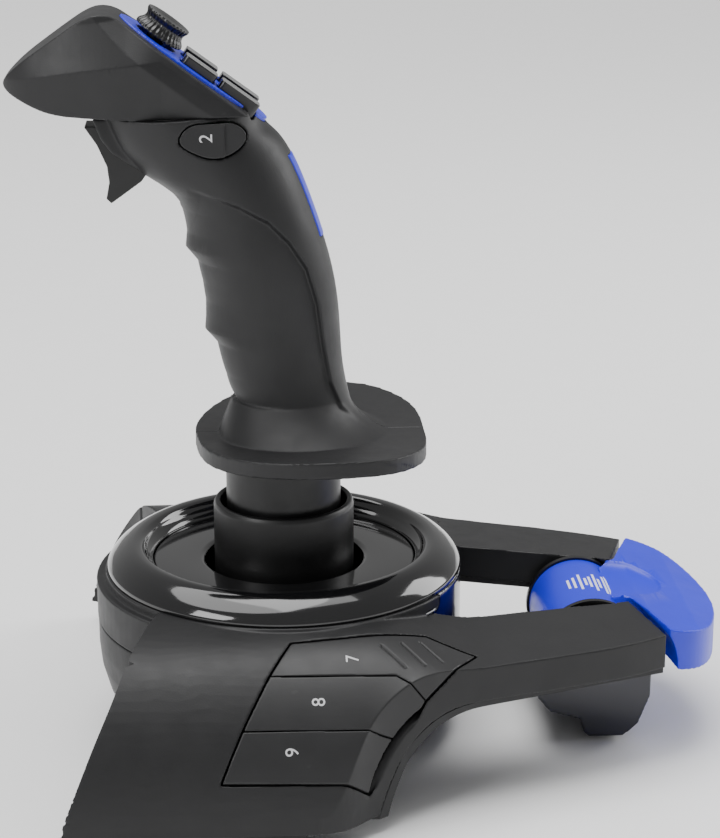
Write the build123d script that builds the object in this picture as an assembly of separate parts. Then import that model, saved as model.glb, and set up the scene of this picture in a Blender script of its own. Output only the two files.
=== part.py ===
from build123d import *
from math import hypot
import os

# Flight joystick. Millimetres. The stick's axis is Z, +Y points away from the user,
# +X is the user's right, and Z = 0 is the table. Lengths and heights below are driving sizes.
CLEAR = 0.35                 # gap between pieces that move past each other
WALL = 2.2                   # moulded wall thickness

BODY_R = 52.0                # round base wall
BODY_TOP = 51.0
FLOOR_Z = 4.0                # underside of the round base
HOOD_R = 55.2                # front housing, standing proud of the round base
HOOD_SEAM_Z = 37.0
HOOD_LOW_Z = 21.0
BEZEL_CREST_R = 43.5
BEZEL_TOP = 58.4
DISH_R = 38.3
DISH_Z = 53.2
DISH_HOLE_R = 23.2

GIMBAL_Z = 50.0              # both tilt axes cross here
COLLAR_R = 20.5
COLLAR_TOP = 71.2
NECK_R = 16.7
PIN_R = 2.2
RUN = 0.05                   # radial running clearance of a pin in its bore
EAR_IN = 8.4
EAR_OUT = 11.2

PLATE_Z = 87.0               # hand rest: underside at front and back
PLATE_T = 4.6
PLATE_RISE = 3.0             # its sides sit higher than its ends
HEAD_HALF = 19.0

THROTTLE_Y = -89.5
THROTTLE_Z = 28.7
DRUM_R = 14.0
DRUM_HALF = 16.6
FLANGE_R = 14.7
FLANGE_HALF = 18.4
POD_HALF = 21.0
AXLE_R = 1.5
ARM_TIP_IN = (-17.0, -100.0)
ARM_TIP_OUT = (-39.0, -107.0)
ARM_Z = 42.5
PADDLE_REAR = -127.8
SLAB = 15.5                  # deck thickness measured along the key direction
KEY_DEPTH = 7.6
KEY_GAP = 2.4
KEY_DIR = Vector(1, 0, -1).normalized()

# Deck cross-section at the wing, from the round base out and down to the table.
WING_SECTION = [
    (28, 51.2), (36, 51.1), (44, 50.9), (52, 50.2), (58, 48.6), (64, 45.8), (70, 41.0),
    (75, 35.4), (79, 29.0), (82, 21.6), (84, 14.0), (85, 6.5), (85.3, -2.0),
]
ARM_SLOPE = 0.065            # deck drop per mm outwards along the arm
ARM_RISE = 0.0395            # deck rise per mm forwards along the arm
BLEND = (-55.0, -20.0)       # Y range where arm section turns into wing section

# Deck outline seen from above, left side.
LEAD_EDGE = [(-38, 36), (-60, 43.2), (-78, 52.4), (-83, 58), (-85.6, 65)]
TRAIL_EDGE = [(-84.6, -6.5), (-82.8, -14.0), (-77, -20.5), (-70, -31), (-61, -51), ARM_TIP_OUT]

# Key outlines in the plane facing KEY_DIR: (Y, distance down the deck).
KEY_LINES = [
    [(0.0, 6.0), (-37.5, 2.2), (-51.0, 8.5)],
    [(6.0, 16.6), (-28.0, 17.2), (-36.0, 22.5)],
    [(13.5, 31.6), (-30.0, 32.2)],
    [(19.4, 44.4), (-20.0, 45.4)],
]


def smoothstep(t):
    t = min(1.0, max(0.0, t))
    return t * t * (3 - 2 * t)


def cylinder(r, z0, z1, x=0, y=0):
    return Pos(x, y, (z0 + z1) / 2) * Cylinder(r, z1 - z0)


def tube(r_out, r_in, z0, z1, x=0, y=0):
    return cylinder(r_out, z0, z1, x, y) - cylinder(r_in, z0 - 1, z1 + 1, x, y)


def box(x0, x1, y0, y1, z0, z1):
    return Pos((x0 + x1) / 2, (y0 + y1) / 2, (z0 + z1) / 2) * Box(x1 - x0, y1 - y0, z1 - z0)


def rod_x(r, x0, x1, y, z):
    return Pos((x0 + x1) / 2, y, z) * Rot(0, 90, 0) * Cylinder(r, x1 - x0)


def rod_y(r, y0, y1, x, z):
    return Pos(x, (y0 + y1) / 2, z) * Rot(90, 0, 0) * Cylinder(r, y1 - y0)


def revolved(points):
    """Solid of revolution about Z from (radius, height) points."""
    return revolve(make_face(Polyline([(r, 0, z) for r, z in points], close=True)), Axis.Z)


def side_prism(points, x0, x1):
    """Outline in the YZ plane, (y, z) points, extruded from x0 to x1."""
    face = make_face(Polyline([(x0, y, z) for y, z in points], close=True))
    return extrude(face, amount=x1 - x0, dir=(1, 0, 0))


def plan_prism(points, z0=-20, z1=90):
    face = make_face(Polyline([(x, y, z0) for x, y in points], close=True))
    return extrude(face, amount=z1 - z0, dir=(0, 0, 1))


def right(solid):
    return mirror(solid, Plane.YZ)


# ---------------------------------------------------------------- base and deck

def deck_point(x, z, y):
    """Point of the deck's outer face: a wing at the front that turns into an arm at the back."""
    w = smoothstep((y - BLEND[0]) / (BLEND[1] - BLEND[0]))
    arm_z = ARM_Z + ARM_RISE * (y + 100) - ARM_SLOPE * (x - 17)
    return Vector(-x, y, w * z + (1 - w) * arm_z)


def deck_slab(near, far):
    """Left deck between two depths along KEY_DIR."""
    rows = [-112, -92, -74, -62, -55, -48, -41, -34, -27, -20, -10, 10, 40, 72]
    inner = [(8, 51.2), (18, 51.2)]
    grid = [[deck_point(x, z, y) for x, z in inner + WING_SECTION] for y in rows]
    face = Face.make_surface_from_array_of_points(grid, tol=0.02)
    face = face.translate(KEY_DIR * near)
    return Solid.extrude(face, KEY_DIR * (far - near))


def deck_outline(inset=0.0):
    """Vertical prism around the left wing and arm, or a straight-sided one set in by a wall."""
    low = -20
    back = [ARM_TIP_OUT, ARM_TIP_IN, (-32, -40), (-32, 0), (-30, 36), LEAD_EDGE[0]]
    tip = [LEAD_EDGE[-1], (-90, 65), (-90, -6.5), TRAIL_EDGE[0]]
    if inset:
        loop = LEAD_EDGE[:-1] + tip[1:] + TRAIL_EDGE[1:-1] + back[:-1]
        face = offset(make_face(Polyline([(x, y, low) for x, y in loop], close=True)), -inset)
    else:
        lead = Spline([(x, y, low) for x, y in LEAD_EDGE])
        trail = Spline([(x, y, low) for x, y in TRAIL_EDGE])
        closing = Polyline([(x, y, low) for x, y in tip])
        face = make_face([lead, closing, trail, Polyline([(x, y, low) for x, y in back])])
    return extrude(face, amount=120, dir=(0, 0, 1))


KEY_PLANE = Plane(origin=(0, 0, 0), x_dir=(0, 1, 0), z_dir=tuple(KEY_DIR * -1))


def key_prism(index, grow=0.0):
    """Prism along KEY_DIR between two key lines, past the trailing edge of the deck."""
    top, low = KEY_LINES[index], KEY_LINES[index + 1]
    face = KEY_PLANE * make_face(Polyline(top + low[::-1], close=True))
    if grow:
        face = offset(face, grow, kind=Kind.INTERSECTION)
    return extrude(face, amount=130, both=True, dir=tuple(KEY_DIR))


def outer_cut():
    """Round base and hood that the deck stands against."""
    return cylinder(BODY_R + 0.3, -20, 60)


def drum_room():
    return rod_x(FLANGE_R + 0.6, -FLANGE_HALF - 0.4, FLANGE_HALF + 0.4, THROTTLE_Y, THROTTLE_Z)


def make_wing():
    shell = (deck_slab(0, SLAB - 2.2) & deck_outline()) - outer_cut()
    core = (deck_slab(WALL * 1.2, SLAB + 5) & deck_outline(WALL)) - cylinder(BODY_R + 3, -20, 60)
    wing = shell - core
    for i in range(3):
        wing -= key_prism(i, CLEAR) & (deck_slab(-3, KEY_DEPTH + KEY_GAP))
    return wing - drum_room() - box(-100, 0, -120, 80, -20, 5.2)


def make_wing_cover():
    cover = (deck_slab(SLAB - 2.1, SLAB) & deck_outline(0.4)) - cylinder(BODY_R + 0.7, -20, 60)
    cover -= cylinder(HOOD_R + 0.1, 0, 60) & box(-60, 0, 34, 80, 0, 60)
    cover -= drum_room() + box(-28.5, 0, -99.5, -78.5, 10, 30.85)
    return cover - box(-100, 0, -120, 80, -20, 4.2)


def make_key(index):
    key = deck_slab(0, KEY_DEPTH) & deck_outline() & key_prism(index, -CLEAR / 2)
    return key - cylinder(BODY_R + 2.0, -20, 60)


def make_upper_shell():
    left = make_wing()
    ring = tube(BODY_R + 0.5, 34, 47.6, BODY_TOP)
    ring -= box(-30, 30, -60, -5, 40, 60) & tube(60, 49.4, 40, 60)
    hood = tube(HOOD_R, BODY_R + 0.4, HOOD_SEAM_Z, BODY_TOP - 2.5)
    hood += tube(HOOD_R, BODY_R - 3, 47.6, BODY_TOP - 2.5)
    hood = hood & box(-46, 46, 35.5, 60, 0, 60)
    return left + right(left) + ring + hood


def make_hood_cover():
    profile = [
        (BODY_R + 0.4, HOOD_LOW_Z), (HOOD_R - 3, HOOD_LOW_Z - 6), (HOOD_R - 0.8, HOOD_LOW_Z + 2),
        (HOOD_R - 0.2, HOOD_LOW_Z + 8), (HOOD_R - 0.2, HOOD_SEAM_Z - 0.3),
        (BODY_R + 0.4, HOOD_SEAM_Z - 0.3),
    ]
    return revolved(profile) & box(-40, 40, 36, 60, 0, 60)


def make_lower_shell():
    outer = [
        (0, FLOOR_Z), (45.5, FLOOR_Z), (49, FLOOR_Z + 2), (51.2, FLOOR_Z + 6), (BODY_R, FLOOR_Z + 12),
        (BODY_R, BODY_TOP), (0, BODY_TOP),
    ]
    inner = [
        (0, FLOOR_Z + WALL), (44.5, FLOOR_Z + WALL), (49, FLOOR_Z + 8), (BODY_R - WALL, FLOOR_Z + 14),
        (BODY_R - WALL, BODY_TOP + 1), (0, BODY_TOP + 1),
    ]
    cup = revolved(outer) - revolved(inner)
    keep_high = box(-29, 29, -60, -5.5, 40, 60)
    cup -= tube(60, 40, 47.3, 60) - keep_high
    return cup


def make_bezel():
    profile = [
        (BODY_R, BODY_TOP + 0.02), (BODY_R - 0.6, BODY_TOP + 1.2), (49.8, 54.0), (46.8, 56.8),
        (BEZEL_CREST_R, BEZEL_TOP), (41.6, BEZEL_TOP - 0.6), (41.0, BEZEL_TOP - 1.6), (40.2, 55.4),
        (DISH_R + 0.1, 54.2), (DISH_R + 0.1, BODY_TOP + 0.02),
    ]
    return revolved(profile)


def make_dish():
    return tube(DISH_R, DISH_HOLE_R, BODY_TOP + 0.02, DISH_Z)


# ---------------------------------------------------------------- gimbal and stick

def make_pedestal():
    post = cylinder(11, FLOOR_Z + WALL, 40) + cylinder(26, FLOOR_Z + WALL, FLOOR_Z + 7)
    ears = box(EAR_IN, EAR_OUT, -5, 5, 38, 54) + box(-EAR_OUT, -EAR_IN, -5, 5, 38, 54)
    ears = ears & (box(-20, 20, -5, 5, 0, GIMBAL_Z) + rod_x(5, -20, 20, 0, GIMBAL_Z))
    body = post + ears
    body -= rod_x(PIN_R + RUN, -20, 20, 0, GIMBAL_Z)
    body -= cylinder(6, 0, 34)
    return body


def make_cross():
    block = Pos(0, 0, GIMBAL_Z) * Box(15.6, 15.6, 8)
    block += rod_x(PIN_R, -EAR_OUT, EAR_OUT, 0, GIMBAL_Z)
    block += rod_y(PIN_R, -EAR_OUT, EAR_OUT, 0, GIMBAL_Z)
    return block


def make_fork():
    ears = box(-5, 5, EAR_IN, EAR_OUT, GIMBAL_Z, 62) + box(-5, 5, -EAR_OUT, -EAR_IN, GIMBAL_Z, 62)
    ears += rod_y(5, EAR_IN, EAR_OUT, 0, GIMBAL_Z) + rod_y(5, -EAR_OUT, -EAR_IN, 0, GIMBAL_Z)
    body = ears + cylinder(COLLAR_R - 2.2, 60, 63.5) + cylinder(7, 63, 68)
    return body - rod_y(PIN_R + RUN, -20, 20, 0, GIMBAL_Z)


def make_collar():
    profile = [
        (COLLAR_R - 2.2, 45), (COLLAR_R, 45), (COLLAR_R, COLLAR_TOP - 1.2), (COLLAR_R - 0.9, COLLAR_TOP),
        (COLLAR_R - 2.0, COLLAR_TOP), (COLLAR_R - 2.2, COLLAR_TOP - 0.4),
    ]
    return revolved(profile)


def make_spindle():
    return cylinder(5, 68, 96) + cylinder(6.5, 68, 70)


def coil_spring(r, wire, z0, z1, turns):
    """Stack of closed coils standing for a compression spring."""
    step = (z1 - z0 - wire) / (turns - 1)
    coils = [Pos(0, 0, z0 + wire / 2 + step * i) * Torus(r, wire / 2) for i in range(turns)]
    strut = box(r - wire / 4, r + wire / 4, -wire / 4, wire / 4, z0 + wire / 2, z1 - wire / 2)
    return Part() + coils + strut


# ---------------------------------------------------------------- handle

GRIP = [                      # height, front Y, back Y, half width
    (92, 15.5, -20.0, 17.0), (104, 14.6, -18.9, 15.0), (118, 19.6, -16.9, 15.5), (130, 22.6, -16.1, 16.5),
    (145, 26.4, -13.3, 18.0), (158, 29.5, -9.2, 18.6),
]
CROWN = [                     # tilted sections: front point, back point (y, z), half width
    ((36.0, 166.0), (-4.6, 170.0), 18.6), ((47.0, 178.0), (2.0, 180.0), 18.6),
    ((52.5, 187.5), (6.0, 188.0), 18.0),
]


def grip_section(front, back, half, shrink):
    fy, fz = front
    by, bz = back
    length = hypot(fy - by, fz - bz)
    plane = Plane(origin=(0, (fy + by) / 2, (fz + bz) / 2), x_dir=(1, 0, 0),
                  z_dir=(0, -(fz - bz) / length, (fy - by) / length))
    return plane * Ellipse(half - shrink, length / 2 - shrink)


def grip_form(shrink=0.0):
    rings = [grip_section((f, z), (b, z), h, shrink) for z, f, b, h in GRIP]
    rings += [grip_section(f, b, h, shrink) for f, b, h in CROWN]
    return loft([r.face() for r in rings])


def plate_outline(grow=0.0):
    pts = [(0, 25.2), (22, 20.5), (37, 7), (41.5, -10), (37, -27), (24, -38), (0, -41)]
    pts = [(x * (1 + grow / 45), y * (1 + grow / 35)) for x, y in pts]
    loop = pts + [(-x, y) for x, y in pts[-2:0:-1]]
    return make_face(Spline([(x, y, 0) for x, y in loop], periodic=True))


def make_hand_rest():
    """Saddle-shaped plate at the foot of the grip, flared up to meet it."""
    slab = extrude(Pos(0, 0, PLATE_Z - 6) * plate_outline(), amount=22)
    saddle = []
    for level in (PLATE_Z, PLATE_Z + PLATE_T):
        grid = [
            [Vector(x, y, level + PLATE_RISE * (x / 41.5) ** 2) for x in range(-48, 49, 12)]
            for y in range(-48, 33, 16)
        ]
        face = Face.make_surface_from_array_of_points(grid, tol=0.02)
        saddle.append(Solid.extrude(face, Vector(0, 0, 40)))
    plate = slab & (saddle[0] - saddle[1])
    flare = loft([
        Pos(0, -8, PLATE_Z + 3) * Ellipse(30, 27).face(),
        Pos(0, -3, PLATE_Z + 9) * Ellipse(21, 20).face(),
        Pos(0, -2.3, PLATE_Z + 15) * Ellipse(15.4, 17).face(),
    ])
    return plate + flare


HEAD_BACK = [(8.8, 185.7), (24, 197.0), (43.5, 211.4)]      # straight part of the side outline, (y, z)
HEAD_NOSE = [                 # curved part of it, from the top round the nose and back underneath
    (43.5, 211.4), (50, 212.6), (58, 208.5), (66, 202.9), (73.5, 196.8), (75.6, 193.6), (71, 189.6),
    (62.0, 186.2), (52.0, 185.3), (38.0, 184.6), (22.0, 185.4), (8.8, 185.7),
]
HEAD_PLAN = [                 # half outline of the cap from above, (x, y)
    (12, -2), (18, 12), (19, 30), (18, 48), (14.2, 62), (8, 72.5), (0, 76.5),
]


def head_form():
    outline = [Polyline([(0, y, z) for y, z in HEAD_BACK]), Spline([(0, y, z) for y, z in HEAD_NOSE])]
    body = extrude(make_face(outline), amount=HEAD_HALF, both=True, dir=(1, 0, 0))
    plan = [(x, y, 150) for x, y in HEAD_PLAN] + [(-x, y, 150) for x, y in HEAD_PLAN[-2::-1]]
    face = make_face([Spline(plan), Line(plan[-1], plan[0])])
    body = body & extrude(face, amount=80, dir=(0, 0, 1))
    lid = Plane(origin=(0, 24, 198), x_dir=(1, 0, 0), z_dir=(0, -0.59, 0.807))
    bevel = loft([
        (lid * Pos(0, 8, 3) * RectangleRounded(27, 86, 10)).face(),
        (lid * Pos(0, 8, -9) * RectangleRounded(40, 96, 12)).face(),
        (lid * Pos(0, 8, -60) * RectangleRounded(42, 110, 12)).face(),
    ])
    return body & bevel


PANEL = Plane(origin=(0, 23.6, 196.8), x_dir=(1, 0, 0), z_dir=(0, -0.588, 0.809))
PANEL_L = 49.0
PANEL_HALF = 12.6


def on_panel(sketch, low, high, shift=0.0):
    """Flat shape extruded between two heights above the panel."""
    return extrude(PANEL * Pos(0, shift, low) * sketch.face(), amount=high - low, dir=PANEL.z_dir)


def panel_outline(grow=0.0):
    return PANEL * Ellipse(PANEL_HALF + grow, PANEL_L / 2 + grow).face()


THUMB_KEYS = [                # x, y in the panel plane, width, length
    (-6.0, -1.0, 6.6, 10.5), (6.0, -1.0, 6.6, 10.5), (-5.6, -14.0, 6.4, 12.5), (5.6, -14.0, 6.4, 12.5),
]
HAT_AT = (0, 13.0)
KEY_PROUD = 3.0


def thumb_key(x, y, w, length, low, high, grow=0.0):
    pad = PANEL * Pos(x, y, low) * RectangleRounded(w + 2 * grow, length + 2 * grow, 1.2).face()
    return extrude(pad, amount=high - low, dir=PANEL.z_dir)


def panel_cylinder(x, y, r, low, high):
    disc = PANEL * Pos(x, y, low) * Circle(r).face()
    return extrude(disc, amount=high - low, dir=PANEL.z_dir)


SIDE_BUTTON = Plane(origin=(-17.6, 18.4, 179.6), x_dir=(0, 1, 0), z_dir=(-1, 0, 0.12))
SIDE_OUTLINE = [              # y forwards, then down, from the button's middle
    (9.0, -0.9), (6.6, -3.6), (0, -4.5), (-6.2, -4.1), (-8.8, -1.4), (-6.0, 2.9), (-0.5, 4.8), (5.6, 3.2),
]


def side_button(grow, low, high):
    points = [(x * (1 + grow / 9.0), y * (1 + grow / 4.7), low) for x, y in SIDE_OUTLINE]
    pad = SIDE_BUTTON * make_face(Spline(points, periodic=True))
    return extrude(pad, amount=high - low, dir=SIDE_BUTTON.z_dir)


TRIGGER_AXIS = (44.0, 178.5)  # y, z of the trigger pin
TRIGGER = [
    (54.0, 181.6), (50.6, 176.5), (48.0, 170.5), (47.5, 166.0), (48.4, 161.4), (47.0, 160.1), (38.5, 166.2),
    (35.2, 171.0), (37.0, 181.6),
]


TRIGGER_HOUSING = [(36, 184), (51.5, 184), (49.4, 178.5), (46.5, 174.6), (41, 171.0), (36, 168.2)]


def make_trigger():
    blade = side_prism(TRIGGER, -5.4, 5.4)
    return blade - rod_x(1.5 + RUN, -10, 10, *TRIGGER_AXIS)


def trigger_pocket():
    pts = [(57.5, 186.6), (57.0, 176), (52, 155), (30, 155), (29.6, 168.0), (31.0, 186.6)]
    return side_prism(pts, -5.8, 5.8)


def shell_halves():
    """Both grip halves with their rooms cut out, before they are split."""
    outer = grip_form() + make_hand_rest()
    inner = grip_form(2.4) & box(-30, 30, -60, 80, 95, 240)
    outer -= inner
    outer -= cylinder(NECK_R + 0.05, 60, PLATE_Z + 4)
    outer -= cylinder(13.0, 60, 100)
    outer += side_prism(TRIGGER_HOUSING, -7.8, 7.8)
    outer -= head_form()
    outer -= extrude((PANEL * Rectangle(90, 140)).face(), amount=60, dir=PANEL.z_dir)
    outer -= extrude(panel_outline(0.02).translate(PANEL.z_dir * -3.0), amount=10, dir=PANEL.z_dir)
    for x, y, w, length in THUMB_KEYS:
        outer -= thumb_key(x, y, w, length, -12, 2, CLEAR)
    outer -= trigger_pocket()
    outer -= rod_x(1.5, -7.7, 7.7, *TRIGGER_AXIS)
    outer -= side_button(CLEAR, -8, 20)
    outer -= back_inlay_form(0.03, 1.34)
    return outer


def back_inlay_form(grow=0.0, depth=1.3):
    """Long blue insert that fills the spine of the grip."""
    window = box(-5.5 - grow, 5.5 + grow, -40, 20, 150 - grow, 173 + grow)
    return (grip_form(-0.25) & window) - grip_form(depth)


def make_head():
    """Cap of the grip, hollowed for the hat, the thumb keys and the trigger."""
    head = head_form()
    head -= on_panel(RectangleRounded(23, 44, 5), -15, -3, shift=1.0)
    head -= extrude(panel_outline(0.02).translate(PANEL.z_dir * -1.52), amount=40, dir=PANEL.z_dir)
    head -= on_panel(Ellipse(PANEL_HALF - 2, PANEL_L / 2 - 3), -3.1, 6.9)
    for x, y, w, length in THUMB_KEYS:
        head -= thumb_key(x, y, w, length, -12, 2, CLEAR)
    return head - trigger_pocket()


def make_panel():
    plate = on_panel(Ellipse(PANEL_HALF, PANEL_L / 2), -1.5, 0.6)
    plate += on_panel(Ellipse(PANEL_HALF - 2.3, PANEL_L / 2 - 3.3), -2.9, -0.9)
    for x, y, w, length in THUMB_KEYS:
        plate -= thumb_key(x, y, w, length, -8, 8, CLEAR)
    return plate - panel_cylinder(*HAT_AT, 6.2, -8, 8)


def make_hat_socket():
    x, y = HAT_AT
    body = panel_cylinder(x, y, 8.0, -14.5, -3.4) - panel_cylinder(x, y, 6.4, -12.5, 0)
    return body - hat_pin_x(0.85, 9)


HAT_PIVOT = PANEL * Pos(HAT_AT[0], HAT_AT[1], -7.0)    # both hat axes cross here


def hat_pin_x(r, half):
    return HAT_PIVOT * Rot(0, 90, 0) * Cylinder(r, 2 * half)


def hat_pin_y(r, half):
    return HAT_PIVOT * Rot(90, 0, 0) * Cylinder(r, 2 * half)


def make_hat_cross():
    """Small ring between the socket and the stem, carrying the two hat axes."""
    ring = panel_cylinder(*HAT_AT, 5.9, -8.2, -5.8) + hat_pin_x(0.8, 7.6)
    return ring - panel_cylinder(*HAT_AT, 3.2, -9, -5) - hat_pin_y(0.85, 9)


HAT_CAP = [                   # radius, height above the panel
    (0, 2.0), (6.6, 2.0), (5.4, 3.6), (5.2, 5.4), (6.2, 7.2), (5.9, 7.6), (3.5, 6.9), (0, 6.6),
]


def make_hat():
    stem = panel_cylinder(*HAT_AT, 2.6, -8.6, 3.4)
    return stem + revolve_on_panel(HAT_CAP) + hat_pin_y(0.8, 5.6)


def revolve_on_panel(points):
    x, y = HAT_AT
    face = make_face(Polyline([(r, 0, z) for r, z in points], close=True))
    solid = revolve(face, Axis.Z)
    return (PANEL * Pos(x, y, 0)) * solid


def make_neck():
    low = COLLAR_TOP - 6.2
    sleeve = tube(NECK_R, 13.2, low, PLATE_Z + 3.6)
    return sleeve + tube(13.4, 5.6, PLATE_Z - 2, PLATE_Z + 3.0)


def make_bush():
    return tube(5.6, 5 + RUN, PLATE_Z - 2, PLATE_Z + 3.0)


# ---------------------------------------------------------------- throttle

PADDLE_EDGE = [(37.5, -108.5), (34, -116.5), (20, -124.6), (0, PADDLE_REAR)]      # rear edge, right half
PADDLE_FRONT = [(37.5, -108.5), (16.5, -101.2), (12, -96)]                         # front edge, right half
PADDLE_SIDE = [               # thickness seen from the side, (y, z)
    (-94, 43.4), (-104, 43.0), (-118, 39.4), (-131, 34.8), (-131, 24.4), (-118, 27.6), (-104, 30.6),
    (-94, 31.0),
]
ARM_CLEARANCE = [             # room that the arm ends need, (radius, distance from the middle)
    (0, 0), (17.9, 0), (17.9, 15.5), (21.8, 37), (21.8, 45), (0, 45),
]


def both_sides(points):
    """Right half of an outline, then its mirror image, as (x, y, 0) points."""
    left = [(-x, y, 0) for x, y in points[::-1] if x]
    return [(x, y, 0) for x, y in points] + left


def arm_room():
    """Two cones about the throttle's axle, which the paddle's front faces follow all the way up."""
    cone = revolve(make_face(Polyline([(r, d, 0) for r, d in ARM_CLEARANCE], close=True)), Axis.Y)
    centre = Pos(0, THROTTLE_Y, THROTTLE_Z)
    sides = centre * Rot(0, 0, -90) * cone + centre * Rot(0, 0, 90) * cone
    return sides - box(-15.3, 15.3, -140, -60, 0, 60)


def make_paddle():
    edge = Spline(both_sides(PADDLE_EDGE))
    front = Polyline(both_sides(PADDLE_FRONT))
    body = extrude(make_face([edge, front]), amount=60, dir=(0, 0, 1))
    body = body & side_prism(PADDLE_SIDE, -45, 45)
    return body - arm_room() - rod_x(DRUM_R + 0.02, -50, 50, THROTTLE_Y, THROTTLE_Z)


def make_drum():
    drum = rod_x(DRUM_R, -DRUM_HALF, DRUM_HALF, THROTTLE_Y, THROTTLE_Z)
    drum -= rod_x(DRUM_R - 2.2, -DRUM_HALF + 2, DRUM_HALF - 2, THROTTLE_Y, THROTTLE_Z)
    return drum - rod_x(AXLE_R + RUN, -40, 40, THROTTLE_Y, THROTTLE_Z)


def make_flange(side):
    x0, x1 = sorted((side * (DRUM_HALF + 0.02), side * FLANGE_HALF))
    disc = rod_x(FLANGE_R, x0, x1, THROTTLE_Y, THROTTLE_Z)
    return disc - rod_x(AXLE_R + RUN, -40, 40, THROTTLE_Y, THROTTLE_Z)


def make_pod():
    """Cup under the drum: it hangs from both arms and is the rear foot of the base."""
    outline = [               # seen from the side, (y, z)
        (-73.4, 24), (-73.4, 14), (-77, 9.6), (-86.2, 7.0), (-87.4, 2.6), (-89, 1.2), (-99, 1.2),
        (-103.4, 5), (-106.8, 14), (-107.0, 22.5),
    ]
    body = side_prism(outline, -POD_HALF, POD_HALF)
    for side in (-1, 1):
        x0, x1 = sorted((side * (POD_HALF - 1.2), side * 27))
        body += box(x0, x1, -98, -80, 20, 30.7)
    body -= rod_x(FLANGE_R + 0.8, -FLANGE_HALF - 0.4, FLANGE_HALF + 0.4, THROTTLE_Y, THROTTLE_Z)
    return body - rod_x(AXLE_R, -40, 40, THROTTLE_Y, THROTTLE_Z)


# ---------------------------------------------------------------- internals and small parts

FOOT_PLACES = [(-30, -22), (30, -22), (-26, 28), (26, 28)]
SCREW_PLACES = [(-36, 0), (36, 0), (0, 36), (0, -38)]


def make_ballast():
    plate = tube(42, 28, FLOOR_Z + WALL, FLOOR_Z + WALL + 2.5)
    for x, y in FOOT_PLACES + SCREW_PLACES:
        plate -= cylinder(8, 0, 20, x, y)
    return plate


def make_main_board():
    board = box(-36, 36, -29.1, -27.5, 9.5, 30)
    return board + box(-10, 2, -27.5, -26.2, 15, 27) + box(12, 20, -27.5, -26.4, 17, 23)


def make_feet():
    feet = [cylinder(7, 0, FLOOR_Z + 1.2, x, y) for x, y in FOOT_PLACES]
    feet = [foot - cylinder(4, -1, 1.2, x, y) for foot, (x, y) in zip(feet, FOOT_PLACES)]
    return feet + [cylinder(9, 0, FLOOR_Z - 0.02)]


def make_wing_pad():
    return box(-83.6, -76.2, -3, 55, 0, 5.1)


def make_pod_foot():
    return box(-12, 12, -98, -90, 0, 1.2)


def make_axle():
    return rod_x(AXLE_R, -26.5, 26.5, THROTTLE_Y, THROTTLE_Z)


def make_base_screws():
    heads = [cylinder(2.8, FLOOR_Z + 0.2, FLOOR_Z + 2.2, x, y) for x, y in SCREW_PLACES]
    shanks = [cylinder(1.4, FLOOR_Z + 2.1, FLOOR_Z + 12, x, y) for x, y in SCREW_PLACES]
    return [head + shank for head, shank in zip(heads, shanks)]


def make_bosses():
    """Screw posts of the floor."""
    posts = Part()
    for x, y in SCREW_PLACES:
        posts += cylinder(4, FLOOR_Z + 1, FLOOR_Z + 13, x, y)
    return posts


def screw_room(x, y):
    return cylinder(3.1, 0, FLOOR_Z + 2.2, x, y) + cylinder(1.4, 0, FLOOR_Z + 12, x, y)


def make_floor_shell():
    shell = make_lower_shell() + make_bosses()
    for x, y in SCREW_PLACES:
        shell -= screw_room(x, y)
    for x, y in FOOT_PLACES:
        shell -= cylinder(7, 0, FLOOR_Z + 1.2, x, y)
    return shell


SWITCH_PLACES = [(-8, 18), (-6, 27), (2, 37)]    # Y and distance down the deck, one per key


def make_key_switch(index):
    """Tact switch standing on the wing cover under one key."""
    y, down = SWITCH_PLACES[index]
    tower = KEY_PLANE * Pos(y, down, 0) * Box(5, 5, 260)
    body = deck_slab(KEY_DEPTH + 3.2, SLAB - 2.14) & tower
    stud = deck_slab(KEY_DEPTH + 1.6, KEY_DEPTH + 3.3) & (KEY_PLANE * Pos(y, down, 0) * Box(3, 3, 260))
    return body + stud


def handle_screw_places():
    return [(4, 112), (-9, 118), (12, 134), (-6, 150), (20, 160)]


def make_handle_screws():
    places = handle_screw_places()
    return [rod_x(1.4, 2.0, 9.0, y, z) + rod_x(2.6, 9.0, 10.6, y, z) for y, z in places]


def make_screw_posts():
    """Posts that join the grip halves, bored for their screws."""
    posts = Part()
    for y, z in handle_screw_places():
        posts += rod_x(3.6, -16, 16, y, z)
    return posts & grip_form(1.7)


def make_trigger_switch():
    return box(-4.5, 4.5, 27.5, 29.4, 172, 178)


def make_trigger_spring():
    coils = [Pos(0, 29.8 + 0.9 * i, 175) * Rot(90, 0, 0) * Torus(1.5, 0.25) for i in range(7)]
    return Part() + coils + box(1.4, 1.6, 29.7, 35.3, 174.9, 175.1)


def make_head_board():
    board = on_panel(RectangleRounded(20, 22, 2), -9.4, -8.0, shift=-8.2)
    for x, y, w, length in THUMB_KEYS:
        board += thumb_key(x, y, 3.4, 3.4, -8.1, -6.4)
    return board


def export(nodes):
    os.makedirs("parts", exist_ok=True)
    for name, shape in nodes.items():
        items = shape if isinstance(shape, list) else [shape]
        solids = [s for item in items for s in item.solids()]
        result = solids[0] if len(solids) == 1 else Compound(children=solids)
        export_step(result, f"parts/{name}.step")


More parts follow.
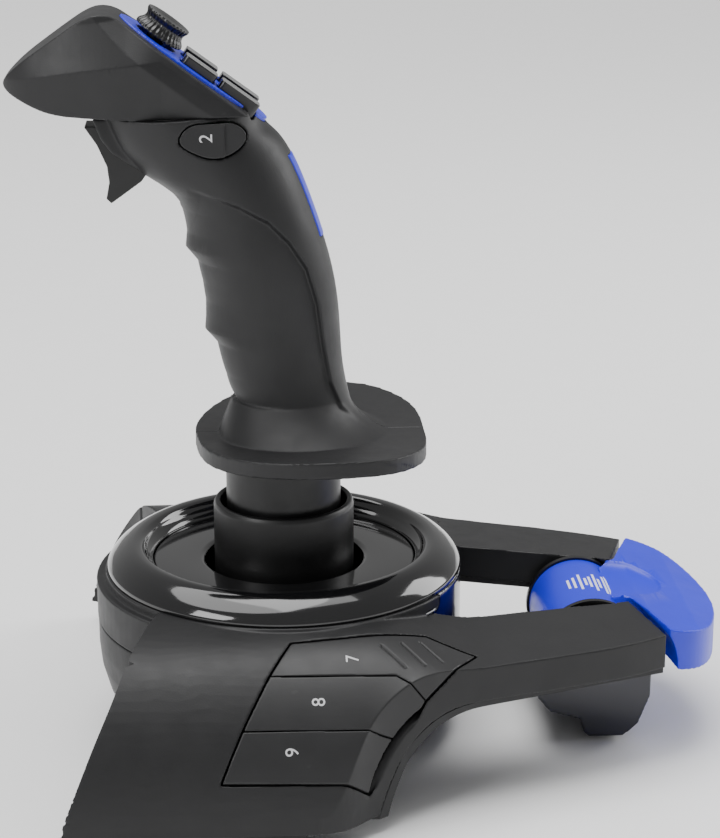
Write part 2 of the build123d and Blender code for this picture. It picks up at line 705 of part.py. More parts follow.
def build_base():
    nodes = {
        "upper_shell": make_upper_shell(),
        "hood_cover": make_hood_cover(),
        "lower_shell": make_floor_shell(),
        "bezel_ring": make_bezel(),
        "dish_plate": make_dish(),
        "left_wing_cover": make_wing_cover(),
        "throttle_pod": make_pod(),
        "throttle_axle": make_axle(),
        "gimbal_pedestal": make_pedestal(),
        "centring_spring": coil_spring(16.4, 1.8, FLOOR_Z + 7.02, 44.95, 9),
        "pitch_sensor": rod_x(3.8, EAR_OUT + 0.02, 14.2, 0, GIMBAL_Z),
        "ballast_plate": make_ballast(),
        "main_board": make_main_board(),
        "base_feet": make_feet(),
        "pod_foot": make_pod_foot(),
        "base_screws": make_base_screws(),
        "left_wing_pad": make_wing_pad(),
        "left_key_switches": [make_key_switch(i) for i in range(3)],
    }
    nodes["right_wing_cover"] = right(nodes["left_wing_cover"])
    nodes["right_wing_pad"] = right(nodes["left_wing_pad"])
    nodes["right_key_switches"] = [right(s) for s in nodes["left_key_switches"]]
    return nodes


def build_keys():
    nodes = {}
    for i in range(3):
        key = make_key(i)
        nodes[f"wing_key_{7 + i}"] = key
        nodes[f"wing_key_{10 + i}"] = right(key)
    return nodes


def build_stick():
    return {
        "gimbal_cross": make_cross(),
        "stick_fork": make_fork(),
        "stick_collar": make_collar(),
        "spring_cup": tube(COLLAR_R - 2.2, 14.6, 45, 46.5),
        "roll_sensor": rod_y(3.8, EAR_OUT + 0.02, 14.2, 0, GIMBAL_Z),
        "twist_spindle": make_spindle(),
    }


def build_handle():
    shell = shell_halves() + make_screw_posts()
    for y, z in handle_screw_places():
        shell -= rod_x(1.4, 2.0, 9.2, y, z) + rod_x(2.65, 9.0, 30, y, z)
    left = shell & box(-60, -0.02, -80, 100, 0, 300)
    nodes = {
        "grip_left": left,
        "grip_right": shell & box(0.02, 60, -80, 100, 0, 300),
        "head_cap": make_head(),
        "thumb_panel": make_panel(),
        "spine_inlay": back_inlay_form(),
        "neck_tube": make_neck(),
        "twist_bush": make_bush(),
        "twist_sensor": tube(8.5, 5.4, PLATE_Z + 3.7, 94.6),
        "grip_screws": make_handle_screws(),
        "trigger_pin": rod_x(1.5, -7.7, 7.7, *TRIGGER_AXIS),
        "trigger_switch": make_trigger_switch(),
        "trigger_spring": make_trigger_spring(),
        "head_board": make_head_board(),
        "hat_socket": make_hat_socket(),
        "trigger": make_trigger(),
        "hat_ring": make_hat_cross(),
        "hat_knob": make_hat(),
        "thumb_button_2": side_button(0, -4, 1.0),
    }
    for i, (x, y, w, length) in enumerate(THUMB_KEYS):
        nodes[f"thumb_button_{3 + i}"] = thumb_key(x, y, w, length, -4.6, KEY_PROUD)
    return nodes


def build_throttle():
    return {
        "throttle_drum": make_drum(),
        "throttle_flanges": [make_flange(-1), make_flange(1)],
        "throttle_paddle": make_paddle(),
    }


if __name__ == "__main__":
    export({**build_base(), **build_keys(), **build_stick(), **build_handle(), **build_throttle()})
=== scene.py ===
import math

import bmesh
import bpy
import numpy as np
from mathutils import Matrix, Vector
from mathutils.bvhtree import BVHTree


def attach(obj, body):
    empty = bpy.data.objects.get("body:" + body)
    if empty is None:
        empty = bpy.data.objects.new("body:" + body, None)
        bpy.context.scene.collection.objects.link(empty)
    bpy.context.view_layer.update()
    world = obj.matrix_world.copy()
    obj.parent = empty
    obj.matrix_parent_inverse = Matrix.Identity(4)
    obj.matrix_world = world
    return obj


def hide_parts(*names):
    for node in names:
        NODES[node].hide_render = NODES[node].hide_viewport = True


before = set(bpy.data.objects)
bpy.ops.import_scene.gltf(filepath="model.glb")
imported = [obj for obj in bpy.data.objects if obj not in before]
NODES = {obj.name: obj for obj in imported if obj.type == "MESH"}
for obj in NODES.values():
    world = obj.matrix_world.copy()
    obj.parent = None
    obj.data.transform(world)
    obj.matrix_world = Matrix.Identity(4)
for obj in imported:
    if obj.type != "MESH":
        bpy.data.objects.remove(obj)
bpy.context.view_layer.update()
MM = 0.001


# ---------------------------------------------------------------- materials

def node(tree, kind, **inputs):
    made = tree.nodes.new(kind)
    for name, value in inputs.items():
        made.inputs[name.replace("_", " ")].default_value = value
    return made


def noise(tree, coords, scale, detail=3.0, roughness=0.6):
    made = node(tree, "ShaderNodeTexNoise", Scale=scale, Detail=detail, Roughness=roughness)
    tree.links.new(coords, made.inputs["Vector"])
    return made.outputs["Fac"]


def remap(tree, value, low, high, out_low, out_high):
    made = node(tree, "ShaderNodeMapRange", From_Min=low, From_Max=high, To_Min=out_low, To_Max=out_high)
    tree.links.new(value, made.inputs["Value"])
    return made.outputs["Result"]


def mix_colour(tree, factor, first, second):
    made = tree.nodes.new("ShaderNodeMix")
    made.data_type = "RGBA"
    tree.links.new(factor, made.inputs["Factor"])
    for socket, value in ((made.inputs[6], first), (made.inputs[7], second)):
        if isinstance(value, tuple):
            socket.default_value = (*value, 1)
        else:
            tree.links.new(value, socket)
    return made.outputs[2]


CLOUD_SCALE = 55.0            # noise scales per metre: colour clouds, rubbed patches, gloss
RUB_SCALE = 240.0
SHEEN_SCALE = 130.0
WORN_EDGE = (0.53, 0.62)      # pointiness at which an edge starts to be rubbed, and is fully so


def plastic(
    name, colour, rough, grain=0.0, grain_size=0.3, spread=0.06, worn=0.0, coat=0.0, specular=0.5,
    metallic=0.0,
):
    """Moulded finish: fine grain in the bump, cloudy colour and gloss, and edges rubbed lighter."""
    mat = bpy.data.materials.new(name)
    mat.use_nodes = True
    tree = mat.node_tree
    shader = tree.nodes["Principled BSDF"]
    shader.inputs["Metallic"].default_value = metallic
    shader.inputs["Coat Weight"].default_value = coat
    shader.inputs["Coat Roughness"].default_value = 0.03
    shader.inputs["Specular IOR Level"].default_value = specular
    coords = tree.nodes.new("ShaderNodeTexCoord").outputs["Object"]
    cloud = noise(tree, coords, CLOUD_SCALE)
    dark = tuple(c * (1 - spread) for c in colour)
    light = tuple(min(1.0, c * (1 + spread)) for c in colour)
    tone = mix_colour(tree, remap(tree, cloud, 0.3, 0.7, 0, 1), dark, light)
    if worn:
        edge = tree.nodes.new("ShaderNodeNewGeometry").outputs["Pointiness"]
        patch = remap(tree, noise(tree, coords, RUB_SCALE), 0.35, 0.7, 0, worn)
        rub = tree.nodes.new("ShaderNodeMath")
        rub.operation = "MULTIPLY"
        tree.links.new(remap(tree, edge, *WORN_EDGE, 0, 1), rub.inputs[0])
        tree.links.new(patch, rub.inputs[1])
        pale = tuple(min(1.0, c * 1.9 + 0.03) for c in colour)
        tone = mix_colour(tree, rub.outputs[0], tone, pale)
    tree.links.new(tone, shader.inputs["Base Color"])
    sheen = remap(tree, noise(tree, coords, SHEEN_SCALE), 0.3, 0.7, rough * 0.9, min(1.0, rough * 1.1))
    tree.links.new(sheen, shader.inputs["Roughness"])
    if grain:
        fine = noise(tree, coords, 1.0 / (grain_size * MM), detail=2.0)
        bump = node(tree, "ShaderNodeBump", Strength=1.0, Distance=grain * MM)
        tree.links.new(fine, bump.inputs["Height"])
        tree.links.new(bump.outputs["Normal"], shader.inputs["Normal"])
    return mat


GREY = {
    "shell": (0.0125, 0.0125, 0.0132),
    "key": (0.0155, 0.0155, 0.0162),
}

# The record's material slots, then the finishes that only this scene uses. Grain sizes are in mm.
FINISHES = {
    "shell_matte": dict(
        colour=GREY["shell"], rough=0.47, grain=0.022, grain_size=0.42, worn=0.30, specular=0.36
    ),
    "key_dark": dict(
        colour=GREY["key"], rough=0.45, grain=0.014, grain_size=0.36, worn=0.25, specular=0.4
    ),
    "gloss_black": dict(
        colour=(0.004, 0.004, 0.0045), rough=0.10, grain=0.0008, grain_size=2.5, coat=0.6
    ),
    "gloss_navy": dict(
        colour=(0.0015, 0.002, 0.012), rough=0.16, grain=0.0008, grain_size=2.5, coat=0.4
    ),
    "sleeve_black": dict(colour=(0.003, 0.003, 0.0032), rough=0.42, grain=0.008, grain_size=0.3),
    "accent_blue": dict(
        colour=(0.010, 0.018, 0.62), rough=0.36, grain=0.008, grain_size=0.35, spread=0.04
    ),
    "thumb_black": dict(
        colour=(0.003, 0.003, 0.0033), rough=0.30, grain=0.004, grain_size=0.3, coat=0.2
    ),
    "rubber_black": dict(colour=(0.016, 0.016, 0.016), rough=0.7, grain=0.03, grain_size=0.5),
    "steel": dict(colour=(0.55, 0.55, 0.56), rough=0.28, grain=0.004, grain_size=0.2, metallic=1.0),
    "spring_steel": dict(
        colour=(0.5, 0.5, 0.52), rough=0.22, grain=0.002, grain_size=0.2, metallic=1.0
    ),
    "board_green": dict(colour=(0.02, 0.18, 0.07), rough=0.35, grain=0.01, grain_size=0.6),
    "inner_plastic": dict(colour=(0.1, 0.1, 0.11), rough=0.5, grain=0.01, grain_size=0.4),
    "digit_grey": dict(colour=(0.55, 0.55, 0.56), rough=0.5, grain=0.004, grain_size=0.2),
    # painted highlight: lighter grey on the buttons' tops stands in for their glossy reflection; the low
    # roughness and coat are real gloss
    "thumb_top_highlight": dict(colour=(0.13, 0.13, 0.13), rough=0.16, grain=0.003, grain_size=0.3, coat=0.3),
    "tick_white": dict(colour=(0.72, 0.74, 0.9), rough=0.5, grain=0.004, grain_size=0.2),
}
MATS = {name: plastic(name, **finish) for name, finish in FINISHES.items()}

WING_KEYS = range(7, 13)
THUMB_KEYS = range(3, 7)
NODES_OF = {
    "shell_matte": [
        "upper_shell", "hood_cover", "left_wing_cover", "right_wing_cover", "grip_left", "grip_right",
        "head_cap",
    ],
    "key_dark": ["thumb_button_2"] + [f"wing_key_{number}" for number in WING_KEYS],
    "gloss_black": ["bezel_ring", "dish_plate"],
    "gloss_navy": ["lower_shell", "throttle_pod"],
    "sleeve_black": ["stick_collar", "spring_cup", "neck_tube", "trigger", "throttle_flanges"],
    "accent_blue": ["thumb_panel", "spine_inlay", "throttle_drum", "throttle_paddle"],
    "thumb_black": ["hat_knob"] + [f"thumb_button_{number}" for number in THUMB_KEYS],
    "rubber_black": ["base_feet", "pod_foot", "left_wing_pad", "right_wing_pad"],
    "steel": ["throttle_axle", "ballast_plate", "base_screws", "grip_screws", "trigger_pin"],
    "spring_steel": ["centring_spring", "trigger_spring"],
    "board_green": ["main_board", "head_board"],
    "inner_plastic": [
        "gimbal_pedestal", "pitch_sensor", "left_key_switches", "right_key_switches", "gimbal_cross",
        "stick_fork", "roll_sensor", "twist_spindle", "twist_bush", "twist_sensor", "trigger_switch",
        "hat_socket", "hat_ring",
    ],
}


def assign(obj, slot):
    obj.data.materials.clear()
    obj.data.materials.append(MATS[slot])


for slot, names in NODES_OF.items():
    for name in names:
        assign(NODES[name], slot)


# ---------------------------------------------------------------- mesh helpers

SAME_POINT = 1e-7             # metres


def add_piece(name, mesh, body, slot, stands_for=(), smooth_angle=40.0):
    """A new visible piece, riding on a CAD body and standing for CAD nodes."""
    obj = bpy.data.objects.new(name, mesh)
    bpy.context.scene.collection.objects.link(obj)
    assign(obj, slot)
    mesh.shade_smooth()
    mesh.set_sharp_from_angle(angle=math.radians(smooth_angle))
    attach(obj, body)
    if stands_for:
        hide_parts(*stands_for)
    return obj


def copy_of(name):
    """A closed copy of a CAD node's mesh."""
    bm = bmesh.new()
    bm.from_mesh(NODES[name].data)
    bmesh.ops.remove_doubles(bm, verts=bm.verts, dist=SAME_POINT)
    mesh = bpy.data.meshes.new(name + "_copy")
    bm.to_mesh(mesh)
    bm.free()
    return mesh


def with_modifier(mesh, kind, **settings):
    """The mesh after one modifier."""
    obj = bpy.data.objects.new("work", mesh)
    bpy.context.scene.collection.objects.link(obj)
    modifier = obj.modifiers.new("work", kind)
    for key, value in settings.items():
        setattr(modifier, key, value)
    graph = bpy.context.evaluated_depsgraph_get()
    result = bpy.data.meshes.new_from_object(obj.evaluated_get(graph))
    bpy.data.objects.remove(obj)
    return result


def points_of(mesh):
    co = np.empty(len(mesh.vertices) * 3)
    mesh.vertices.foreach_get("co", co)
    return co.reshape(-1, 3) / MM


def set_points(mesh, co):
    mesh.vertices.foreach_set("co", (co * MM).ravel())
    mesh.update()


SHRINK, SWELL = 0.5, -0.52    # the two passes of a smoothing round


def relaxed(mesh, co, rounds):
    """Points after smoothing that keeps the volume."""
    edges = np.empty(len(mesh.edges) * 2, int)
    mesh.edges.foreach_get("vertices", edges)
    a, b = edges.reshape(-1, 2).T
    count = np.bincount(np.r_[a, b], minlength=len(co))[:, None]
    size = len(co)
    for factor in (SHRINK, SWELL) * rounds:
        total = [np.bincount(a, co[b, k], size) + np.bincount(b, co[a, k], size) for k in range(3)]
        co = co + factor * (np.stack(total, 1) / count - co)
    return co


def recast(name, node_name, body, slot, voxel, rounds, keep, sculpt=None):
    """A CAD node moulded again with rounded edges, then shaped by the function sculpt.

    voxel is in mm, rounds is how often it is smoothed, and keep the share of its faces that stay.
    """
    size = voxel * 1
    mesh = with_modifier(copy_of(node_name), "REMESH", mode="VOXEL", voxel_size=size * MM)
    co = relaxed(mesh, points_of(mesh), rounds)
    if sculpt:
        co = sculpt(co)
    set_points(mesh, co)
    mesh = with_modifier(mesh, "DECIMATE", ratio=keep)
    return add_piece(name, mesh, body, slot, [node_name], smooth_angle=50.0)


def smoothstep(t):
    t = np.clip(t, 0, 1)
    return t * t * (3 - 2 * t)


def lathe(profile, steps=160):
    """Closed (radius, height) outline turned about Z, in mm."""
    ring = [Vector((r, 0, z)) for r, z in profile]
    bm = bmesh.new()
    rows = []
    for i in range(steps):
        turn = Matrix.Rotation(2 * math.pi * i / steps, 4, "Z")
        rows.append([bm.verts.new((turn @ p) * MM) for p in ring])
    for i in range(steps):
        a, b = rows[i], rows[(i + 1) % steps]
        for j in range(len(ring)):
            k = (j + 1) % len(ring)
            bm.faces.new((a[j], b[j], b[k], a[k]))
    bmesh.ops.remove_doubles(bm, verts=bm.verts, dist=SAME_POINT)
    bmesh.ops.dissolve_degenerate(bm, edges=bm.edges, dist=1e-8)
    bmesh.ops.recalc_face_normals(bm, faces=bm.faces)
    mesh = bpy.data.meshes.new("lathe")
    bm.to_mesh(mesh)
    bm.free()
    return mesh


def rounded(profile, radius, steps=4):
    """Outline with every corner replaced by an arc of about this radius."""
    out = []
    count = len(profile)
    for i in range(count):
        p = Vector(profile[i])
        a = Vector(profile[i - 1]) - p
        b = Vector(profile[(i + 1) % count]) - p
        cut = min(radius, a.length * 0.45, b.length * 0.45)
        start, end = p + a.normalized() * cut, p + b.normalized() * cut
        for k in range(steps + 1):
            t = k / steps
            out.append(tuple((1 - t) ** 2 * start + 2 * t * (1 - t) * p + t * t * end))
    return out


# ---------------------------------------------------------------- base

# Outlines of the turned pieces, as radius and height.
BEZEL = [
    (52.0, 51.05), (51.9, 52.4), (50.6, 54.4), (48.4, 56.4), (46.0, 57.8), (44.0, 58.35), (42.2, 58.1),
    (41.2, 57.2), (40.6, 55.6), (38.5, 54.1), (38.5, 51.05),
]
DISH = [(38.25, 51.05), (38.25, 53.2), (24.4, 53.2), (23.3, 52.6), (23.3, 51.05)]
COLLAR = [
    (18.4, 45.05), (20.4, 45.05), (20.5, 46), (20.5, 69.6), (20.0, 70.8), (19.3, 71.15), (18.5, 70.8),
    (18.35, 69.8),
]
add_piece("ring", lathe(rounded(BEZEL, 1.2)), "base", "gloss_black", ["bezel_ring"])
add_piece("dish", lathe(rounded(DISH, 0.5)), "base", "gloss_black", ["dish_plate"])
add_piece("collar", lathe(rounded(COLLAR, 0.5)), "stick", "sleeve_black", ["stick_collar"])

WING_TIP_X = (56, 85.5)       # |x| range of the wing's thin front edge
WING_FRONT_Y = 30             # the wing's front edge lies ahead of this


def leading_edge():
    """Front outline of the wings from above: |x| and the furthest y of the CAD shell there."""
    co = points_of(NODES["upper_shell"].data)
    x, y = np.abs(co[:, 0]), co[:, 1]
    edge = []
    for low in np.arange(*WING_TIP_X, 1.0):
        strip = co[(x >= low) & (x < low + 1.0) & (y > WING_FRONT_Y)]
        if len(strip):
            far = strip[np.argmax(strip[:, 1])]
            edge.append((abs(far[0]), far[1]))
    return np.array(edge).T


def shape_housing(co):
    """Straightens the thin front edge of the wings."""
    xs, ys = leading_edge()
    x, y = np.abs(co[:, 0]), co[:, 1]
    line = np.interp(x, xs, ys)
    near = (x > xs[0]) & (y > line - 1.0)
    out = co.copy()
    out[near, 1] = line[near]
    return out


recast("housing", "upper_shell", "base", "shell_matte", 0.36, 9, 0.25, shape_housing)
recast("front_cover", "hood_cover", "base", "shell_matte", 0.45, 6, 0.3)
recast("floor_pan", "lower_shell", "base", "gloss_navy", 0.7, 6, 0.3)
recast("pod", "throttle_pod", "base", "gloss_navy", 0.5, 8, 0.3)

# Three slits near the rear end of keys 7 and 10, as start and end points (|x|, y).
SLITS = [((58.5, -24.6), (65.0, -30.6)), ((56.4, -30.2), (63.6, -36.0)), ((54.0, -35.6), (61.0, -41.0))]
SLIT_DEPTH = 0.8
SLIT_HALF = 0.55


def shape_slit_key(co):
    """Presses the three slits into the top of a key."""
    x, y = np.abs(co[:, 0]), co[:, 1]
    out = co.copy()
    for (x0, y0), (x1, y1) in SLITS:
        dx, dy = x1 - x0, y1 - y0
        t = np.clip(((x - x0) * dx + (y - y0) * dy) / (dx * dx + dy * dy), 0, 1)
        gap = np.hypot(x - x0 - t * dx, y - y0 - t * dy)
        out[:, 2] -= SLIT_DEPTH * smoothstep(1 - gap / SLIT_HALF)
    return out


for number in WING_KEYS:
    shape = shape_slit_key if number in (7, 10) else None
    recast(f"key_cap_{number}", f"wing_key_{number}", f"key_{number}", "key_dark", 0.28, 3, 0.4, shape)


# ---------------------------------------------------------------- handle

# Height, then how far the front of the grip moves forwards there: finger hollows and ridges.
FINGERS = [
    (100, 0), (104.5, -0.3), (109.5, -1.2), (119, -1.3), (120.8, -0.2), (122.9, 1.2), (126.5, 0.0),
    (131.5, -1.5), (137, -2.3), (143, -2.4), (145, -1.2), (147, 0.1), (151.5, -1.2), (158, -1.8),
    (163, -1.5), (168, 0),
]
# Height, then front and back of the grip: the frame that the hollows fade across.
GRIP_SPAN = [
    (92, 15.5, -20), (104, 14.6, -18.9), (118, 19.6, -16.9), (130, 22.6, -16.1), (145, 26.4, -13.3),
    (158, 29.5, -9.2), (172, 40, -2),
]
# Edge of the raised spine of the grip, (y, z), from below the side button down to the hand rest.
SPINE_EDGE = np.array([
    (26.0, 166.8), (22.5, 165.8), (11.6, 161.8), (3.4, 157.1), (-2.6, 150.7), (-7.5, 142.6), (-10.5, 131.9),
    (-12.1, 119.4), (-14.0, 108.7), (-17, 101.4), (-23, 96.2), (-31.2, 91.8),
])
EDGE_DEPTH = [0.0, 0.9, 1.7, 2.0, 2.1, 2.1, 2.0, 1.9, 1.7, 1.4, 0.9, 0.2]
EDGE_WIDTH = 1.6              # the step is this wide
PALM_WIDTH = 14.0             # and fades out over this distance in front of it


def edge_distance(y, z):
    """Signed distance in front of the spine's edge, and the step's depth at the nearest place."""
    best = np.full(len(y), 1e9)
    signed = np.zeros(len(y))
    depth = np.zeros(len(y))
    for i in range(len(SPINE_EDGE) - 1):
        a, b = SPINE_EDGE[i], SPINE_EDGE[i + 1]
        d = b - a
        t = np.clip(((y - a[0]) * d[0] + (z - a[1]) * d[1]) / (d @ d), 0, 1)
        gap = np.hypot(y - a[0] - t * d[0], z - a[1] - t * d[1])
        side = np.sign((y - a[0]) * -d[1] + (z - a[1]) * d[0])
        near = gap < best
        best[near] = gap[near]
        signed[near] = (gap * side)[near]
        depth[near] = (EDGE_DEPTH[i] + (EDGE_DEPTH[i + 1] - EDGE_DEPTH[i]) * t)[near]
    return signed, depth


def shape_grip(co):
    """Finger hollows in front, and the sides pressed in ahead of the raised spine."""
    x, y, z = co.T
    heights, fronts, backs = np.array(GRIP_SPAN).T
    front, back = np.interp(z, heights, fronts), np.interp(z, heights, backs)
    share = (y - (front + back) / 2) / ((front - back) / 2)
    push = np.interp(z, *np.array(FINGERS).T) * smoothstep(share * 1.1)
    gap, depth = edge_distance(y, z)
    fade = np.exp(-np.clip(gap, 0, None) ** 2 / PALM_WIDTH ** 2)
    step = depth * smoothstep(gap / EDGE_WIDTH) * fade
    side = smoothstep((np.abs(x) - 3) / 6)
    out = co.copy()
    out[:, 1] += push
    out[:, 0] -= np.sign(x) * step * side
    return out


# Crease along the side of the cap, (y, z), from the blue panel's foot to the nose.
CAP_CREASE = [(9.8, 185.6), (15.1, 189.4), (24.4, 194.9), (32.3, 200.9), (53.7, 198.4), (72.9, 195.1)]


def shape_cap(co):
    """Sides that lean in below the crease, and above it towards the nose."""
    x, y, z = co.T
    crease = np.interp(y, *np.array(CAP_CREASE).T)
    below = np.clip(crease - z, 0, 16) / 16
    above = np.clip(z - crease, 0, 12) / 12
    out = co.copy()
    out[:, 0] = x * (1 - 0.20 * below - 0.30 * above * smoothstep((y - 28) / 14))
    return out


recast("grip_shell_left", "grip_left", "handle", "shell_matte", 0.40, 8, 0.35, shape_grip)
recast("grip_shell_right", "grip_right", "handle", "shell_matte", 0.40, 8, 0.35, shape_grip)
recast("visor", "head_cap", "handle", "shell_matte", 0.36, 8, 0.4, shape_cap)
recast("blue_panel", "thumb_panel", "handle", "accent_blue", 0.3, 3, 0.35)
recast("spine", "spine_inlay", "handle", "accent_blue", 0.3, 3, 0.4)
recast("trigger_blade", "trigger", "trigger", "sleeve_black", 0.3, 5, 0.4)

# The blue panel's plane: its middle, the direction out of it and the direction up along it.
PANEL_MIDDLE = Vector((0, 23.6, 196.8))
PANEL_NORMAL = Vector((0, -0.588, 0.809)).normalized()
PANEL_UP = Vector((0, 0.809, 0.588)).normalized()
PANEL_AT = Matrix((
    (1, PANEL_UP.x, PANEL_NORMAL.x, PANEL_MIDDLE.x), (0, PANEL_UP.y, PANEL_NORMAL.y, PANEL_MIDDLE.y),
    (0, PANEL_UP.z, PANEL_NORMAL.z, PANEL_MIDDLE.z), (0, 0, 0, 1),
))
HAT = [                       # radius, height above the panel
    (0.01, -8.6), (2.6, -8.6), (2.6, 1.7), (7.3, 1.7), (7.3, 2.8), (6.2, 4.0), (5.9, 5.2), (6.7, 6.7),
    (6.6, 7.4), (3.4, 6.7), (0.01, 6.4),
]
HAT_UP = 13.0                 # the hat's distance up the panel
HAT_RIBS = 30
RIB_DEPTH = 0.035             # share of the radius


def ribbed_hat():
    """The hat with its grip ribs cut into the skirt and the rim."""
    mesh = lathe(rounded(HAT, 0.5, 3), 240)
    co = points_of(mesh)
    r = np.hypot(co[:, 0], co[:, 1])
    turn = np.arctan2(co[:, 1], co[:, 0])
    rim = smoothstep((r - 4.6) / 0.8) * smoothstep((co[:, 2] - 1.9) / 0.5)
    scale = 1 - rim * RIB_DEPTH * (0.5 + 0.5 * np.cos(turn * HAT_RIBS))
    co[:, :2] *= scale[:, None]
    grid = np.array(PANEL_AT @ Matrix.Translation((0, HAT_UP, 0)))
    set_points(mesh, co @ grid[:3, :3].T + grid[:3, 3])
    return add_piece("hat", mesh, "hat", "thumb_black", ["hat_knob"])


THUMB_HIGHLIGHT_LEVEL = 2.7               # faces higher than this above the panel get the painted highlight


def finish_top(obj):
    """Painted highlight: a lighter grey second material on the top faces of a thumb button, standing in for
    the glossy reflection there.
    """
    obj.data.materials.append(MATS["thumb_top_highlight"])
    level = PANEL_MIDDLE.dot(PANEL_NORMAL) + THUMB_HIGHLIGHT_LEVEL
    for face in obj.data.polygons:
        if face.normal.dot(PANEL_NORMAL) > 0.86 and face.center.dot(PANEL_NORMAL) / MM > level:
            face.material_index = 1


SIDE_KEY_STEP = 15.6          # behind this y the side button's face is lower


def shape_side_key(co):
    """The rear third of the side button's face, set lower."""
    out = co.copy()
    rear = smoothstep((SIDE_KEY_STEP - co[:, 1]) / 0.6) * smoothstep((-16.5 - co[:, 0]) / 0.8)
    out[:, 0] += 0.7 * rear
    return out


ribbed_hat()
for number in THUMB_KEYS:
    node_name = f"thumb_button_{number}"
    finish_top(recast(f"thumb_key_{number}", node_name, f"button_{number}", "thumb_black", 0.2, 3, 0.5))
side_key = recast("side_key", "thumb_button_2", "button_2", "key_dark", 0.2, 2, 0.5, shape_side_key)


# ---------------------------------------------------------------- throttle

SCOOP_Y = -98
SCOOP_DEPTH = 2.8


def shape_paddle(co):
    """The scoop in the top of the paddle, next to the drum."""
    x, y, z = co.T
    d = np.hypot(x / 14.0, (y - SCOOP_Y) / 14.5)
    out = co.copy()
    out[:, 2] -= SCOOP_DEPTH * np.sqrt(np.clip(1 - d ** 2, 0, 1)) * smoothstep((z - 34) / 4)
    return out


recast("paddle", "throttle_paddle", "throttle", "accent_blue", 0.4, 3, 0.4, shape_paddle)

# Scale marks on the drum: angle above straight ahead in degrees, length in mm.
TICKS = [
    (70.0, 6.5), (77.0, 8.0), (84.5, 11.5), (91.0, 5.5), (96.5, 8.0), (103.0, 13.0), (108.5, 7.0),
    (115.5, 13.5), (120.5, 16.0), (127.0, 7.5),
]
TICK_WIDTH = 0.75
TICK_X = -1.5                 # middle of the marks
DRUM_AT = (-89.5, 28.7)
DRUM_R = 14.0
BOX_FACES = ((0, 1, 3, 2), (4, 6, 7, 5), (0, 4, 5, 1), (2, 3, 7, 6), (0, 2, 6, 4), (1, 5, 7, 3))


def drum_tick(bm, angle, length):
    """A raised mark a few hundredths thick, lying across the drum."""
    half = math.degrees(TICK_WIDTH / 2 / DRUM_R)
    corners = []
    for radius in (DRUM_R - 0.02, DRUM_R + 0.05):
        for turn in (angle - half, angle + half):
            y = DRUM_AT[0] + radius * math.cos(math.radians(turn))
            z = DRUM_AT[1] + radius * math.sin(math.radians(turn))
            for x in (TICK_X - length / 2, TICK_X + length / 2):
                corners.append(bm.verts.new(Vector((x, y, z)) * MM))
    for face in BOX_FACES:
        bm.faces.new([corners[i] for i in face])


def drum_scale():
    """All the marks as one piece."""
    bm = bmesh.new()
    for angle, length in TICKS:
        drum_tick(bm, angle, length)
    bmesh.ops.recalc_face_normals(bm, faces=bm.faces)
    mesh = bpy.data.meshes.new("scale")
    bm.to_mesh(mesh)
    bm.free()
    add_piece("scale_marks", mesh, "throttle", "tick_white")


drum_scale()


# ---------------------------------------------------------------- numerals

DIGIT_HEIGHT = 3.7
FONT_SIZE = 1.38              # font size over the height of its digits
INK = 0.02                    # half thickness of the print
INK_LIFT = 0.03


def numeral_mesh(text):
    """Flat numeral lying in the XY plane."""
    curve = bpy.data.curves.new("numeral", "FONT")
    curve.body = text
    curve.size = DIGIT_HEIGHT * FONT_SIZE * MM
    curve.align_x = "CENTER"
    curve.align_y = "CENTER"
    curve.extrude = INK * MM
    curve.resolution_u = 6
    source = bpy.data.objects.new("work", curve)
    bpy.context.scene.collection.objects.link(source)
    graph = bpy.context.evaluated_depsgraph_get()
    mesh = bpy.data.meshes.new_from_object(source.evaluated_get(graph))
    bpy.data.objects.remove(source)
    return mesh


def numeral(text, host, body, at, normal):
    """A thin printed numeral pressed onto the surface of host, its top towards +Y."""
    mesh = numeral_mesh(text)
    up = (0, 1, 0)
    n = Vector(normal).normalized()
    v = (Vector(up) - n * Vector(up).dot(n)).normalized()
    u = v.cross(n)
    tree = BVHTree.FromObject(host, bpy.context.evaluated_depsgraph_get())
    for vertex in mesh.vertices:
        lift = vertex.co.z + INK_LIFT * MM
        start = (Vector(at) + n * 6) * MM + u * vertex.co.x + v * vertex.co.y
        hit = tree.ray_cast(start, -n, 0.02)[0]
        vertex.co = (hit or Vector(at) * MM) + n * lift
    bm = bmesh.new()
    bm.from_mesh(mesh)
    bmesh.ops.remove_doubles(bm, verts=bm.verts, dist=1e-8)
    bmesh.ops.recalc_face_normals(bm, faces=bm.faces)
    bm.to_mesh(mesh)
    bm.free()
    add_piece(f"numeral_{text}", mesh, body, "digit_grey")


# Number, place on the left deck and tilt of the surface there in degrees.
KEY_NUMERALS = [(7, (-62.9, -16.6, 46.3), 29), (8, (-72.5, -7.0, 38.2), 48), (9, (-79.7, 0.4, 27.2), 68)]
for number, (x, y, z), tilt in KEY_NUMERALS:
    slope = math.radians(tilt)
    for side, value in ((1, number), (-1, number + 3)):
        normal = (-side * math.sin(slope), 0, math.cos(slope))
        host = bpy.data.objects[f"key_cap_{value}"]
        numeral(str(value), host, f"key_{value}", (x * side, y, z), normal)
numeral("2", side_key, "button_2", (-18.6, 20.3, 180.4), (-1, 0, 0.12))


# ---------------------------------------------------------------- floor, light, camera

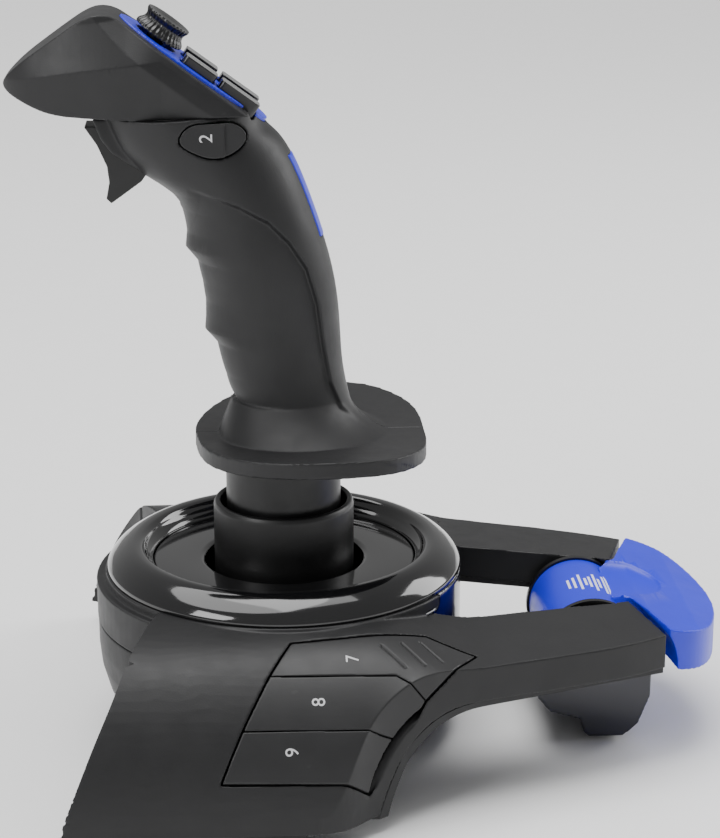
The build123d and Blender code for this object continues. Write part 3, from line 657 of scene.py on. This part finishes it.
def stage_floor():
    bm = bmesh.new()
    bmesh.ops.create_circle(bm, cap_ends=True, segments=96, radius=9.0)
    mesh = bpy.data.meshes.new("floor")
    bm.to_mesh(mesh)
    bm.free()
    floor = bpy.data.objects.new("floor", mesh)
    bpy.context.scene.collection.objects.link(floor)
    mesh.materials.append(plastic("floor_pale", (0.86, 0.86, 0.86), 0.7, spread=0.005, specular=0.2))
    floor.location.z = -0.0002


def facing(place, aim):
    """Rotation that points a light or camera from place to aim."""
    return (Vector(aim) - Vector(place)).to_track_quat("-Z", "Y").to_euler()


def softbox(name, place, aim, width, height, power):
    light = bpy.data.lights.new(name, "AREA")
    light.shape = "RECTANGLE"
    light.size, light.size_y = width, height
    light.energy = power
    obj = bpy.data.objects.new(name, light)
    obj.location = place
    obj.rotation_euler = facing(place, aim)
    bpy.context.scene.collection.objects.link(obj)


def studio():
    world = bpy.data.worlds.new("studio")
    world.use_nodes = True
    background = world.node_tree.nodes["Background"]
    background.inputs["Color"].default_value = (1, 1, 1, 1)
    background.inputs["Strength"].default_value = 0.42
    bpy.context.scene.world = world
    sky = bpy.data.lights.new("ceiling", "SUN")
    sky.angle = math.radians(55)
    sky.energy = 2.6
    sky_object = bpy.data.objects.new("ceiling", sky)
    sky_object.rotation_euler = (math.radians(-14), math.radians(4), 0)
    bpy.context.scene.collection.objects.link(sky_object)
    middle = (0, -0.02, 0.08)
    softbox("key_light", (-0.75, 0.95, 0.75), middle, 0.55, 0.55, 8.0)
    softbox("top_light", (0.05, -0.1, 1.3), middle, 0.8, 0.8, 6.0)
    softbox("rear_light", (0.35, -1.0, 0.55), middle, 0.5, 0.7, 7.0)


VIEW_FROM = (-0.62373, 0.01645, 0.29065)
VIEW_AIM = (0, -0.0224, 0.0944)


def camera():
    data = bpy.data.cameras.new("camera")
    data.lens = 96.9
    data.sensor_width = 36.0
    obj = bpy.data.objects.new("camera", data)
    obj.location = VIEW_FROM
    obj.rotation_euler = facing(obj.location, VIEW_AIM)
    bpy.context.scene.collection.objects.link(obj)
    bpy.context.scene.camera = obj


stage_floor()
studio()
camera()
